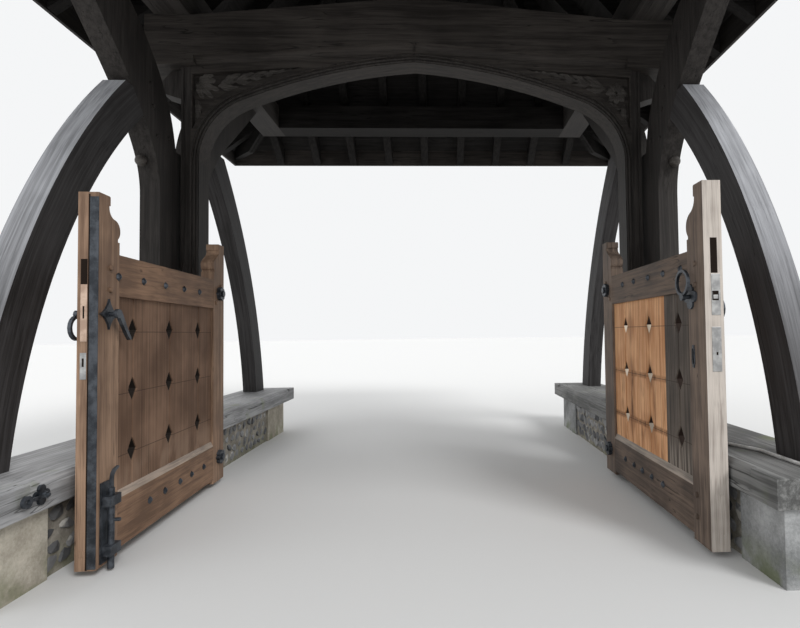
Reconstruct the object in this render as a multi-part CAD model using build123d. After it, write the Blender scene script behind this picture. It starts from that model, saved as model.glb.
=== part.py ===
# Timber lychgate with a hipped roof and a pair of open gate leaves.
# Millimetres. X runs across the passage, Y from the road to the churchyard, Z up from the ground.
# The origin is on the ground in the middle of the passage, in the plane of the two moulded posts.
import os
from math import copysign, cos, pi, radians, sin, tan

from build123d import *

os.makedirs("parts", exist_ok=True)

# Passage and main frame
opening_half = 1400
post_width = 101
post_depth = 198
post_head_width = 61
spring_height = 2035
arch_rise = 662
haunch_share = 0.65
haunch_angle = 68
beam_depth = 300
beam_over_crown = 49
beam_fall = 0.072
beam_height = 339
beam_top_fall = 0.093
beam_hollow = 46
beam_overhang = 60

# Head of the post, swelling outwards under the end of the beam
head_drop = 198
head_rise = 45
head_reach = 139
head_half_depth = 60
head_end_height = 80
head_overlap = 5

# Mouldings of the post and the arch: inset from the jamb, depth from the face
moulding = ((6, 28), (18, 17), (34, 8))
bead_radius = 7
bead_in = 20
rib_width = 72
spandrel_sink = 34
spandrel_border = 48
spandrel_side_share = 0.2
spandrel_inner_share = 0.46

# Walls and sills
wall_front = 1700
wall_rear = 1500
wall_set_back = 36
wall_width = 330
front_pier_length = 264
rear_pier_length = 435
flint_recess = 15
sill_in = 1292
sill_width = 426
sill_low = 280
sill_top = 387
sill_half_length = 1721
sill_chamfer = 26
sill_chamfer_stop = 150

# Side frames
side_frame_gap = 28
side_frame_width = 120
side_post_depth = 212
side_post_top = 2081
brace_depth = 182
brace_bend_height = 1750
brace_lower_points = ((400, 2075), (590, 2300), (800, 2485))
brace_upper_points = ((300, 2490), (600, 2745))
brace_head_out = 1350
brace_head_in = 1000
strut_foot_in = 1363
strut_foot_out = 1557
strut_under_middle = (1055, 1360)
strut_upper_middle = (1268, 1340)
strut_under_head = (430, 2200)
strut_head_out = 640
strut_top = 2285

# Wall plates and roof
plate_width = 225
plate_height = 225
plate_half_length = 1910
roof_pitch = 47
eaves_pitch = 36
eaves_overhang = 475
bend_out = 40
birdsmouth = 40
rafter_depth = 100
rafter_width = 75
rafter_spacing = 400
hip_width = 60
hip_depth = 180
hip_tail_drop = 70
ridge_width = 44
ridge_depth = 230
tile_bed = 75
tail_set_back = 30
eaves_margin = 250
offcut_volume = 5e5

# Gate leaves
leaf_face = 1203
leaf_thickness = 75
leaf_width = 1280
leaf_heel = -164
leaf_low = 28
hinge_stile_width = 163
meeting_stile_width = 140
hinge_stile_top = 1418
meeting_stile_top = 1502
left_meeting_stile_top = 1458
left_leaf_turn = 2.3
stile_head_low = 1297
cap_width_share = 0.54
cap_height_share = 0.23
cap_bevel = 5
cap_lip = 8
cap_lip_height = 7
nose_share = 0.8
nose_over = 4
notch_depth = 12
notch_height = 12
top_rail_top = 1235
top_rail_low = 1066
bottom_rail_top = 278
bottom_rail_low = 52
board_thickness = 40
board_set_back = 14
board_groove = 7
diamond_width = 72
diamond_height = 108
diamond_columns = (0.268, 0.528, 0.787)
diamond_rows = (0.17, 0.491, 0.817)
arris_width = 6
arris_depth = 12
taper_length = 72
taper_width = 13
taper_depth = 7
rail_weathering = 30

# Hinges
pivot_y = -152
meeting_gap = 7
hinge_heights = (172, 1157)
pin_radius = 9
pin_length = 58
eye_radius = 18
eye_height = 40
eye_clearance = 1
eye_seat_gap = 2
collar_radius = 15
collar_height = 22
hinge_plate_thickness = 8
hinge_plate_height = 68
rosette_in = 81
rosette_lobes = 8
rosette_ring = 29
rosette_lobe = 13
rosette_rise = 22
rosette_boss = 19
rosette_boss_rise = 32
rosette_sides = 6
latch_plate_lobe = 24
latch_plate_thickness = 9
lobe_step = 1.2
lobe_sides = 10
eye_arm_share = 1 / 3
pintle_arm_half = 12
pintle_plate_half = 45
pintle_plate_over = 16
pintle_plate_under = 26
crank_half = 14
crank_in = 22
crank_out = 10
crank_plate_in = 13
crank_plate_out = 25
crank_plate_half = 40

# Drop bolt and latches
right_fitting_in = 112
left_fitting_in = 62
bolt_radius = 12
bolt_stand_off = 8
bolt_low = 12
bolt_neck = 318
bolt_clearance = 1
horn_thickness = 10
horn_points = ((-9, 0), (-7, 32), (0, 56), (14, 70), (42, 77), (44, 70), (21, 60), (10, 47), (7, 27), (9, 0))
knob_height = 196
knob_radius = 7
knob_reach = 34
keep_heights = (85, 272)
keep_height = 38
keep_half_width = 34
keep_wall = 7
bolt_plate = (-40, 14, 40, 345)
bolt_plate_thickness = 5
left_latch_height = 991
right_latch_height = 1040
latch_projection = 44
spindle_radius = 9
spindle_clearance = 1
ring_bar = 6
ring_sides = 18
outer_ring_radius = 44
inner_ring_radius = 50
hub_share = 1.8
hub_length = 14
star_half = 60
star_hollow = 3
star_sides = 24
lever_thickness = 14
lever_points = ((-14, 12), (-2, 20), (16, 16), (38, -18), (62, -58), (86, -90), (88, -98), (80, -102), (58, -80),
                (30, -44), (8, -16), (-10, -8))

# Hold-back hook and stay rod
hook_y = -1524
hook_height = 340
hook_length = 88
hook_curl_radius = 15
hook_stud_radius = 6
hook_clearance = 1
hook_stand_off = 21
hook_bar_half = 5
hook_plate_share = 0.7
hook_stud_reach = 34
rod_radius = 7
rod_points = ((124, -1150), (89, -1235), (47, -1320), (37, -1690))
rod_bend = 40
rod_sides = 10

# Derived places
side_in = opening_half + post_width + side_frame_gap
side_out = side_in + side_frame_width
wall_in = sill_in + wall_set_back
post_head_in = opening_half + post_width - post_head_width
crown_height = spring_height + arch_rise
haunch_radius = haunch_share * arch_rise
beam_mid_low = crown_height + beam_over_crown
beam_mid_top = beam_mid_low + beam_height
beam_end_top = beam_mid_top - beam_top_fall * opening_half
plate_low = beam_end_top
plate_top = plate_low + plate_height
plate_out = side_out
plate_in = plate_out - plate_width
slope = tan(radians(roof_pitch))
eaves_slope = tan(radians(eaves_pitch))
rafter_rise = rafter_depth / cos(radians(roof_pitch))
cover_rise = tile_bed / cos(radians(roof_pitch))
deck_at_plate = plate_top - birdsmouth + rafter_rise
deck_peak = deck_at_plate + plate_out * slope
deck_bend = deck_at_plate - bend_out * slope
eaves_low = deck_bend - (eaves_overhang - bend_out) * eaves_slope
ridge_half = plate_half_length - plate_out
roof_half_x = plate_out + eaves_overhang
roof_half_y = plate_half_length + eaves_overhang
past_roof = 900
leaf_back = leaf_face + leaf_thickness
leaf_toe = leaf_heel - leaf_width
panel_heel = leaf_heel - hinge_stile_width
panel_toe = leaf_toe + meeting_stile_width
pivot_x = pivot_y - leaf_toe + meeting_gap / 2
right_fitting_y = leaf_toe + right_fitting_in
left_fitting_y = leaf_toe + left_fitting_in
bolt_x = leaf_face - bolt_radius - bolt_stand_off

nodes = {}


def block(x0, x1, y0, y1, z0, z1):
    """A squared block between two corners."""
    return Pos((x0 + x1) / 2, (y0 + y1) / 2, (z0 + z1) / 2) * Box(x1 - x0, y1 - y0, z1 - z0)


def side_plate(points, x0, x1):
    """An outline in the Y-Z plane, given thickness across X."""
    face = make_face(Polyline(*[(x0, y, z) for y, z in points], close=True))
    return extrude(face, amount=x1 - x0, dir=(1, 0, 0))


def front_plate(points, y0, y1):
    """An outline in the X-Z plane, given thickness along Y."""
    face = make_face(Polyline(*[(x, y0, z) for x, z in points], close=True))
    return extrude(face, amount=y1 - y0, dir=(0, 1, 0))


def plan_plate(points, z0, z1):
    """An outline in plan, given height."""
    face = make_face(Polyline(*[(x, y, z0) for x, y in points], close=True))
    return extrude(face, amount=z1 - z0, dir=(0, 0, 1))


def other_side(shape):
    """The same piece on the left of the passage."""
    return mirror(shape, about=Plane.YZ)


def other_end(shape):
    """The same piece at the churchyard end."""
    return mirror(shape, about=Plane.XZ)


def left_leaf(shape):
    """A piece of the left leaf, which stands a little short of square."""
    turn = Pos(-pivot_x, pivot_y, 0) * Rot(0, 0, left_leaf_turn) * Pos(pivot_x, -pivot_y, 0)
    return turn * other_side(shape)


def add_leaf_pair(name, shape):
    """A piece of the right leaf, and its twin on the left leaf."""
    nodes["right_" + name] = shape
    nodes["left_" + name] = left_leaf(shape)


def add_pair(name, shape):
    """A piece made for the right side, and its twin on the left."""
    nodes["right_" + name] = shape
    nodes["left_" + name] = other_side(shape)


# Dwarf walls, sills
def walls():
    x0 = wall_in
    x1 = x0 + wall_width
    front_end = -wall_front + front_pier_length
    rear_end = wall_rear - rear_pier_length
    front = block(x0, x1, -wall_front, front_end, 0, sill_low)
    rear = block(x0, x1, rear_end, wall_rear, 0, sill_low)
    add_pair("stone_piers", Compound([front, rear]))
    add_pair("flint_wall", block(x0 + flint_recess, x1 - flint_recess, front_end, rear_end, 0, sill_low))


def sill():
    body = block(sill_in, sill_in + sill_width, -sill_half_length, sill_half_length, sill_low, sill_top)
    c = sill_chamfer
    y0 = -sill_half_length + sill_chamfer_stop
    profile = [(sill_in - 1, sill_top + 1), (sill_in + c, sill_top + 1), (sill_in - 1, sill_top - c)]
    return body - front_plate(profile, y0, -y0)


# Main frame
def post():
    """Moulded on both arrises of the jamb, with a bead along the outer part of each face."""
    x0, x1 = opening_half, opening_half + post_width
    d = post_depth / 2
    low = block(x0, x1, -d, d, sill_top, spring_height)
    for inset, depth in moulding:
        cut = block(x0 - 1, x0 + inset, -d - 1, -d + depth, sill_top - 1, spring_height + 1)
        low = low - cut - other_end(cut)
    head = block(post_head_in, x1, -d, d, spring_height, beam_mid_low)
    body = low + head
    bead = Pos(x1 - bead_in, -d, (sill_top + beam_mid_low) / 2) * Cylinder(bead_radius, beam_mid_low - sill_top + 2)
    body = body - bead - other_end(bead)
    return (body + post_swelling()) - tie_beam()


def post_swelling():
    """The head of the post swells outwards, over the side frame, to carry the end of the beam."""
    x0 = opening_half + post_width
    x1 = x0 + head_reach
    low, top = beam_low_at(x0) - head_drop, beam_mid_low
    outline = [(x0 - head_overlap, low), (x0, low), (x1, low + head_rise), (x1, low + head_rise + head_end_height),
               (x0 + head_reach / 2, beam_low_at(x0)), (x0, top), (x0 - head_overlap, top)]
    return front_plate(outline, -head_half_depth, head_half_depth)


def arch_line(inset):
    """Half of the four-centred arch, from the springing to the crown, moved outwards by inset."""
    centre = opening_half - haunch_radius
    r = haunch_radius + inset
    half, full = radians(haunch_angle / 2), radians(haunch_angle)
    quarter = (centre + r * cos(full), 0, spring_height + r * sin(full))
    haunch = ThreePointArc(
        (centre + r, 0, spring_height),
        (centre + r * cos(half), 0, spring_height + r * sin(half)),
        quarter,
    )
    top = TangentArc(quarter, (0, 0, crown_height + inset), tangent=haunch % 1)
    return haunch, top


def beam_low_at(x):
    """Underside of the cambered tie beam at x."""
    return beam_mid_low - beam_fall * abs(x)


def arch_solid(inset, y0, y1):
    """Everything under the arch line, used to cut along it."""
    haunch, top = arch_line(inset)
    below = spring_height - 200
    lines = [
        haunch, top,
        Line((0, 0, crown_height + inset), (0, 0, below)),
        Line((0, 0, below), (opening_half + inset, 0, below)),
        Line((opening_half + inset, 0, below), (opening_half + inset, 0, spring_height)),
    ]
    face = make_face(Wire([edge for line in lines for edge in line.edges()]))
    return Pos(0, y0, 0) * extrude(face, amount=y1 - y0, dir=(0, 1, 0))


def spandrel_hole(y0, y1):
    """The three-cornered sinking between the rib, the post head and the beam."""
    x_out = post_head_in - spandrel_border * spandrel_side_share
    x_in = opening_half * spandrel_inner_share
    drop = spandrel_border
    outline = [(x_in, spring_height), (x_out, spring_height), (x_out, beam_low_at(x_out) - drop),
               (x_in, beam_low_at(x_in) - drop)]
    return front_plate(outline, y0, y1) - arch_solid(rib_width, y0 - 1, y1 + 1)


def arch_brace():
    """Half of the arch with its spandrel, stepped along the arris and sunk in the spandrel."""
    d = post_depth / 2
    body = block(0, post_head_in, -d, d, spring_height, beam_mid_low)
    body = body - arch_solid(0, -d - 1, d + 1) - tie_beam()
    for inset, depth in moulding:
        cut = arch_solid(inset, -d - 1, -d + depth)
        body = body - cut - other_end(cut)
    sink = spandrel_hole(-d - 1, -d + spandrel_sink)
    return body - sink - other_end(sink)


def tie_beam():
    """Cambered beam, straight from the middle to the posts, hollowed along its lower arrises."""
    reach = plate_out + beam_overhang
    d = beam_depth / 2
    right = [(0, beam_mid_low), (reach, beam_low_at(reach)), (reach, beam_end_top), (opening_half, beam_end_top),
             (0, beam_mid_top)]
    left = [(-x, z) for x, z in reversed(right[1:-1])]
    body = front_plate(right + left, -d, d)
    run = Vector(opening_half, 0, beam_low_at(opening_half) - beam_mid_low)
    tilt = Plane((0, -d, beam_mid_low), x_dir=(0, 1, 0), z_dir=run)
    hollow = tilt * Cylinder(beam_hollow, run.length, align=(Align.CENTER, Align.CENTER, Align.MIN))
    hollow = hollow + other_end(hollow)
    return body - hollow - other_side(hollow)


# Side frames
def side_post():
    d = side_post_depth / 2
    return block(side_in, side_out, -d, d, sill_top, side_post_top)


def side_points(pairs):
    """Points on the passage face of the front side frame, from distances out and heights."""
    return [(side_in, -y, z) for y, z in pairs]


def side_timber(lines):
    face = make_face(Wire([edge for line in lines for edge in line.edges()]))
    return extrude(face, amount=side_frame_width, dir=(1, 0, 0))


def front_brace():
    """The long curved brace in front of the side post: upright below, swept out to the wall plate above."""
    y_in = side_post_depth / 2
    y_out = y_in + brace_depth
    lower = side_points(((y_out, brace_bend_height),) + brace_lower_points + ((brace_head_out, plate_low),))
    upper = side_points(((brace_head_in, plate_low),) + brace_upper_points[::-1] + ((y_in, side_post_top),))
    foot_out, foot_in = side_points(((y_out, sill_top), (y_in, sill_top)))
    return side_timber([
        Line(foot_out, lower[0]),
        Spline(*lower, tangents=[(0, 0, 1), (0, -0.76, 0.65)]),
        Line(lower[-1], upper[0]),
        Spline(*upper, tangents=[(0, 0.87, -0.49), (0, 0.2, -1)]),
        Line(upper[-1], foot_in),
        Line(foot_in, foot_out),
    ])


def front_strut():
    """The bowed strut from the end of the sill up to the brace, cut level at its head."""
    under = side_points(((strut_foot_in, sill_top), strut_under_middle, strut_under_head))
    upper = side_points(((strut_foot_out, sill_top), strut_upper_middle, (strut_head_out, strut_top)))
    corner = side_points(((strut_under_head[0], strut_top),))[0]
    return side_timber([
        ThreePointArc(*under),
        Polyline(under[-1], corner, upper[-1]),
        ThreePointArc(*upper),
        Line(upper[0], under[0]),
    ]) - front_brace()


# Roof
def slope_outline(half, lower_by):
    """Section of the roof through slopes that start at half from the middle, flatter at the eaves."""
    base = eaves_low - past_roof
    bend = half + plate_out + bend_out
    foot = bend + (deck_bend - lower_by - base) / eaves_slope
    right = [(foot, base), (bend, deck_bend - lower_by), (half, deck_peak - lower_by)]
    left = [(-x, z) for x, z in reversed(right)]
    return right + (left if half > 0 else left[1:])


def roof_block(lower_by):
    """A hipped block whose slopes lie a given height below the rafters' upper side."""
    across = front_plate(slope_outline(0, lower_by), -roof_half_y - past_roof, roof_half_y + past_roof)
    along = side_plate(slope_outline(ridge_half, lower_by), -roof_half_x - past_roof, roof_half_x + past_roof)
    return across & along


def plan_region(side):
    """The part of the plan that one slope covers, as a tall block."""
    x, y, r = roof_half_x, roof_half_y, ridge_half
    outlines = {
        "right": [(x, -y), (x, y), (0, r), (0, -r)],
        "left": [(-x, y), (-x, -y), (0, -r), (0, r)],
        "front": [(-x, -y), (x, -y), (0, -r)],
        "rear": [(x, y), (-x, y), (0, r)],
    }
    return plan_plate(outlines[side], eaves_low - past_roof, deck_peak + past_roof)


def tiled_slopes():
    cover = roof_block(-cover_rise) - roof_block(0)
    for side in ("right", "left", "front", "rear"):
        nodes[side + "_tiled_slope"] = cover & plan_region(side)


def hip_line(width):
    """An upright slab over the hip at the right rear corner."""
    a = Vector(0, ridge_half, 0)
    b = Vector(roof_half_x - tail_set_back, roof_half_y - tail_set_back, 0)
    n = Vector(1, -1, 0).normalized() * (width / 2)
    pts = [a - n, b - n, b + n, a + n]
    return plan_plate([(p.X, p.Y) for p in pts], eaves_low - past_roof, deck_peak + past_roof)


def hip_rafter():
    shell = roof_block(0) - roof_block(hip_depth / cos(radians(roof_pitch)))
    body = shell & hip_line(hip_width)
    over = block(-roof_half_x, ridge_width / 2, 0, roof_half_y, 0, deck_peak + past_roof)
    under = block(0, roof_half_x, 0, roof_half_y, 0, eaves_low - hip_tail_drop)
    return body - ridge_zone() - over - under


def ridge_zone():
    w = ridge_width / 2
    end = ridge_half + hip_width
    return block(-w, w, -end, end, deck_peak - past_roof, deck_peak + past_roof)


def ridge_board():
    under = block(-ridge_width, ridge_width, -roof_half_y, roof_half_y, 0, deck_peak - ridge_depth)
    return (roof_block(0) & ridge_zone()) - under


def rafter_set(side, plates, hips):
    """Common and jack rafters of one slope, notched over its plate."""
    shell = roof_block(0) - roof_block(rafter_rise)
    x = roof_half_x - tail_set_back
    y = roof_half_y - tail_set_back
    shell = shell & block(-x, x, -y, y, 0, deck_peak)
    shell = shell & plan_region(side)
    for piece in hips + plates:
        shell = shell - piece
    shell = shell - ridge_zone()
    half_span = roof_half_y if side in ("left", "right") else roof_half_x
    count = int((half_span - eaves_margin) // rafter_spacing)
    bars = []
    for i in range(-count, count + 1):
        p = i * rafter_spacing
        w = rafter_width / 2
        slab = (block(-roof_half_x, roof_half_x, p - w, p + w, 0, deck_peak) if side in ("left", "right")
                else block(p - w, p + w, -roof_half_y, roof_half_y, 0, deck_peak))
        bars += [s for s in (shell & slab).solids() if s.volume > offcut_volume]
    return Compound(bars)


def end_plate(sign):
    y0 = plate_half_length - plate_width
    piece = block(-plate_in, plate_in, y0, plate_half_length, plate_low, plate_top)
    return piece if sign > 0 else other_end(piece)


def side_wall_plate():
    return block(plate_in, plate_out, -plate_half_length, plate_half_length, plate_low, plate_top)


def roof():
    right_plate = side_wall_plate()
    add_pair("wall_plate", right_plate)
    nodes["front_plate"] = end_plate(-1)
    nodes["rear_plate"] = end_plate(1)
    plates = [right_plate, other_side(right_plate), nodes["front_plate"], nodes["rear_plate"]]
    hip = hip_rafter()
    for piece in plates:
        hip = hip - piece
    hips = {"right_rear": hip, "left_rear": other_side(hip), "right_front": other_end(hip),
            "left_front": other_side(other_end(hip))}
    nodes["hip_rafters"] = Compound(list(hips.values()))
    nodes["ridge_board"] = ridge_board()
    for side in ("right", "left", "front", "rear"):
        nodes[side + "_rafters"] = rafter_set(side, plates, list(hips.values()))
    tiled_slopes()


# Gate leaves, made for the right side, standing open
def stile(y_edge, inward, width, low, top):
    """A stile whose head is worked with a cap, a hollow, a round and a notch on the side towards the rail."""
    tall = top - stile_head_low
    cap = width * cap_width_share
    cap_low = tall * cap_height_share

    def at(across, down):
        return leaf_face, y_edge + inward * across, top - down

    throat = at(cap - cap_lip, cap_low + cap_lip_height)
    nose = at(width + nose_over, tall * nose_share)
    under = at(width - notch_depth, tall)
    hollow = TangentArc(throat, tuple((a + b) / 2 for a, b in zip(throat, nose)), tangent=(0, 0, -1))
    swell = TangentArc(hollow @ 1, nose, tangent=hollow % 1)
    lines = [
        Polyline(at(0, top - low), at(0, 0), at(cap - cap_bevel, 0), at(cap, cap_bevel), at(cap, cap_low),
                 at(cap - cap_lip, cap_low), throat),
        hollow, swell,
        TangentArc(nose, under, tangent=(0, 0, -1)),
        Polyline(under, at(width - notch_depth, tall + notch_height), at(width, tall + notch_height),
                 at(width, top - low), at(0, top - low)),
    ]
    face = make_face(Wire([edge for line in lines for edge in line.edges()]))
    return extrude(face, amount=leaf_thickness, dir=(1, 0, 0))


def kite(y, z, half_width, half_height):
    """The corners of a lozenge in the plane of the leaf."""
    return [(y - half_width, z), (y, z + half_height), (y + half_width, z), (y, z - half_height)]


def sunk_kite(y, z, half_width, half_height, depth):
    """A shallow pyramid sunk in the face of the boards, deepest at its middle."""
    x = leaf_face + board_set_back
    corners = [(x, a, b) for a, b in kite(y, z, half_width, half_height)]
    bottom = (x + depth, y, z)
    faces = [make_face(Polyline(*corners, close=True))]
    for i in range(4):
        faces.append(make_face(Polyline(corners[i], corners[(i + 1) % 4], bottom, close=True)))
    return Solid(Shell(faces))


def diamonds():
    """The nine holes through the boards, with eased arrises and long tapers up and down the joints."""
    x0 = leaf_face + board_set_back
    w, h = diamond_width / 2, diamond_height / 2
    holes = []
    for u in diamond_columns:
        y = leaf_heel - u * leaf_width
        for v in diamond_rows:
            z = top_rail_low - v * (top_rail_low - bottom_rail_top)
            holes.append(side_plate(kite(y, z, w, h), x0 - 1, x0 + board_thickness + 1))
            holes.append(sunk_kite(y, z, w + arris_width, h + arris_width * h / w, arris_depth))
            holes.append(sunk_kite(y, z, taper_width, h + taper_length, taper_depth))
    return holes


def boards():
    """Boards jointed at the columns of lozenges, between the stiles and the rails."""
    x0 = leaf_face + board_set_back
    x1 = x0 + board_thickness
    body = block(x0, x1, panel_toe, panel_heel, bottom_rail_top, top_rail_low)
    g = board_groove
    for u in diamond_columns:
        y = leaf_heel - u * leaf_width
        body = body - plan_plate([(x0 - 1, y - g), (x0 - 1, y + g), (x0 + g, y)], bottom_rail_top, top_rail_low)
        body = body - plan_plate([(x1 + 1, y + g), (x1 + 1, y - g), (x1 - g, y)], bottom_rail_top, top_rail_low)
    for hole in diamonds():
        body = body - hole
    return body


def across_disc(x0, x1, y, z, radius):
    """A round bar or disc whose axis runs across the passage."""
    return Pos((x0 + x1) / 2, y, z) * Rot(0, 90, 0) * Cylinder(radius, x1 - x0)


def sided_bar(x0, x1, y, z, radius, sides):
    """A bar or plate with flat sides whose axis runs across the passage."""
    return extrude(Plane.YZ.offset(x0) * Pos(y, z) * RegularPolygon(radius, sides), amount=x1 - x0)


def hinge_eyes():
    """Eye plates on the outer face of the hinge stile, one at each hinge."""
    eyes = []
    for z in hinge_heights:
        z0 = z - eye_height / 2
        z1 = z + eye_height / 2
        ring = Pos(pivot_x, pivot_y, z) * Cylinder(eye_radius, eye_height)
        arm = block(leaf_back, pivot_x, leaf_heel - eye_radius, pivot_y - eye_radius * eye_arm_share, z0, z1)
        plate = block(leaf_back, leaf_back + hinge_plate_thickness, panel_heel + eye_radius, leaf_heel,
                      z - hinge_plate_height / 2, z + hinge_plate_height / 2)
        bore = Pos(pivot_x, pivot_y, z) * Cylinder(pin_radius + eye_clearance, hinge_plate_height)
        eyes.append(ring + arm + plate - bore)
    return eyes


def pintles():
    """Hook pins: the lower one is built into the wall, the upper one is cranked to the post's front."""
    pins = []
    for z in hinge_heights:
        seat = z - eye_height / 2 - eye_seat_gap
        low = seat - collar_height
        pin = Pos(pivot_x, pivot_y, seat + pin_length / 2) * Cylinder(pin_radius, pin_length)
        collar = Pos(pivot_x, pivot_y, seat - collar_height / 2) * Cylinder(collar_radius, collar_height)
        t = hinge_plate_thickness
        if seat < sill_low:
            arm = block(pivot_x, wall_in, pivot_y - pintle_arm_half, pivot_y + pintle_arm_half, low, seat)
            plate = block(wall_in - t, wall_in, pivot_y - pintle_plate_half, pivot_y + pintle_plate_half,
                          low - pintle_plate_under, seat + pintle_plate_over)
        else:
            end = -post_depth / 2
            x = opening_half + post_width / 2
            arm = plan_plate([(pivot_x, pivot_y - crank_half), (x + crank_out, end), (x - crank_in, end),
                              (pivot_x, pivot_y + crank_half)], low, seat)
            plate = block(x - crank_plate_in, x + crank_plate_out, end - t, end, low - crank_plate_half,
                          seat + crank_plate_half)
        pins.append(pin + collar + arm + plate)
    return Compound(pins)


def four_lobes(x0, x1, y, z, lobe):
    """A four-lobed plate between x0 and x1, its lobes of radius lobe."""
    step = lobe * lobe_step
    plate = sided_bar(x0, x1, y, z, lobe, lobe_sides)
    for a, b in ((0, 1), (1, 0), (0, -1), (-1, 0)):
        plate = plate + sided_bar(x0, x1, y + a * step, z + b * step, lobe, lobe_sides)
    return plate


def rosettes():
    """Thick rosettes of eight lobes round a boss on the passage face, over the bolts of the hinges."""
    y = leaf_heel - rosette_in
    step = 2 * pi / rosette_lobes
    flowers = []
    for z in hinge_heights:
        flower = sided_bar(leaf_face - rosette_boss_rise, leaf_face, y, z, rosette_boss, rosette_lobes)
        for k in range(rosette_lobes):
            a, b = y + rosette_ring * cos(k * step), z + rosette_ring * sin(k * step)
            flower = flower + sided_bar(leaf_face - rosette_rise, leaf_face, a, b, rosette_lobe, rosette_sides)
        flowers.append(flower)
    return flowers


def lobed_latch_plate(y, z):
    plate = four_lobes(leaf_face - latch_plate_thickness, leaf_face, y, z, latch_plate_lobe)
    return plate - spindle_bore(y, z)


def star_latch_plate(y, z):
    """A plate with four points and hollowed sides."""

    def along(share):
        return copysign(star_half * abs(share) ** star_hollow, share)

    turns = [k * 2 * pi / star_sides for k in range(star_sides)]
    points = [(y + along(cos(t)), z + along(sin(t))) for t in turns]
    return side_plate(points, leaf_face - latch_plate_thickness, leaf_face) - spindle_bore(y, z)


def spindle_bore(y, z):
    return across_disc(leaf_face - latch_projection, leaf_back + latch_projection, y, z,
                       spindle_radius + spindle_clearance)


def iron_ring(x, y, z, radius):
    """A ring hanging in a plane parallel to the leaf."""
    outer = sided_bar(x - ring_bar, x + ring_bar, y, z, radius + ring_bar, ring_sides)
    return outer - sided_bar(x - ring_bar - 1, x + ring_bar + 1, y, z, radius - ring_bar, ring_sides)


def latch_core(y, z):
    """Spindle through the leaf, with a hub on each face and a ring hanging on the outer one."""
    x0 = leaf_face - latch_projection
    x1 = leaf_back + latch_projection
    hub_radius = spindle_radius * hub_share
    hubs = (sided_bar(x1 - hub_length, x1, y, z, hub_radius, lobe_sides)
            + sided_bar(x0, x0 + hub_length, y, z, hub_radius, lobe_sides))
    ring = iron_ring(x1 - hub_length / 2, y, z - outer_ring_radius - spindle_radius, outer_ring_radius)
    return across_disc(x0, x1, y, z, spindle_radius) + hubs + ring


def lever_latch(y, z):
    """The lever on the passage face slopes down towards the hinges."""
    x0 = leaf_face - latch_projection
    return latch_core(y, z) + side_plate([(y + a, z + b) for a, b in lever_points], x0, x0 + lever_thickness)


def ring_latch(y, z):
    """The other leaf has a ring turned up on the passage face."""
    x = leaf_face - latch_projection + hub_length / 2
    return latch_core(y, z) + iron_ring(x, y, z + inner_ring_radius + spindle_radius, inner_ring_radius)


def drop_bolt(y):
    """Round bolt with a knob between its keeps and a tapered head that curls towards the hinges."""
    rod = Pos(bolt_x, y, (bolt_low + bolt_neck) / 2) * Cylinder(bolt_radius, bolt_neck - bolt_low)
    knob = sided_bar(bolt_x - knob_reach, bolt_x, y, knob_height, knob_radius, lobe_sides)
    outline = [(y + a, bolt_neck + b - 1) for a, b in horn_points]
    horn = side_plate(outline, bolt_x - horn_thickness / 2, bolt_x + horn_thickness / 2)
    return rod + knob + horn


def bolt_keeps(y):
    """Back plate with two keeps bored for the bolt."""
    y0, y1, z0, z1 = bolt_plate
    keeps = block(leaf_face - bolt_plate_thickness, leaf_face, y + y0, y + y1, z0, z1)
    for z in keep_heights:
        low, high = z - keep_height / 2, z + keep_height / 2
        keeps = keeps + block(bolt_x - bolt_radius - keep_wall, leaf_face, y - keep_half_width, y + keep_half_width,
                              low, high)
    for z in keep_heights:
        keeps = keeps - Pos(bolt_x, y, z) * Cylinder(bolt_radius + bolt_clearance, keep_height + 2)
    return keeps


def bottom_rail():
    """Its upper arris is weathered on the passage face, down from the face of the boards."""
    rail = block(leaf_face, leaf_back, panel_toe, panel_heel, bottom_rail_low, bottom_rail_top)
    x, top = leaf_face, bottom_rail_top
    return rail - front_plate([(x - 1, top + 1), (x + board_set_back, top + 1), (x - 1, top - rail_weathering)],
                              panel_toe, panel_heel)


def gate_leaves():
    add_leaf_pair("hinge_stile", stile(leaf_heel, -1, hinge_stile_width, leaf_low, hinge_stile_top))
    right_toe = stile(leaf_toe, 1, meeting_stile_width, leaf_low, meeting_stile_top)
    left_toe = stile(leaf_toe, 1, meeting_stile_width, leaf_low, left_meeting_stile_top)
    right = right_fitting_y, right_latch_height
    left = left_fitting_y, left_latch_height
    nodes["right_meeting_stile"] = right_toe - spindle_bore(*right)
    nodes["left_meeting_stile"] = left_leaf(left_toe - spindle_bore(*left))
    add_leaf_pair("top_rail", block(leaf_face, leaf_back, panel_toe, panel_heel, top_rail_low, top_rail_top))
    add_leaf_pair("bottom_rail", bottom_rail())
    add_leaf_pair("boards", boards())
    add_leaf_pair("hinge_irons", Compound(hinge_eyes() + rosettes()))
    nodes["right_latch_plate"] = lobed_latch_plate(*right)
    nodes["left_latch_plate"] = left_leaf(star_latch_plate(*left))
    nodes["right_latch_handle"] = ring_latch(*right)
    nodes["left_latch_handle"] = left_leaf(lever_latch(*left))
    nodes["left_drop_bolt"] = left_leaf(drop_bolt(left_fitting_y))
    nodes["left_bolt_keeps"] = left_leaf(bolt_keeps(left_fitting_y))
    add_pair("pintles", pintles())


# Hold-back hook on the left sill, made for the right side, and stay rod on the right sill
def hold_back_plate():
    """Four-lobed plate on the face of the sill, with the stud that the hook turns on."""
    x = sill_in
    stud = across_disc(x - hook_stud_reach, x, hook_y, hook_height, hook_stud_radius)
    lobe = latch_plate_lobe * hook_plate_share
    return four_lobes(x - latch_plate_thickness, x, hook_y, hook_height, lobe) + stud


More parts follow.
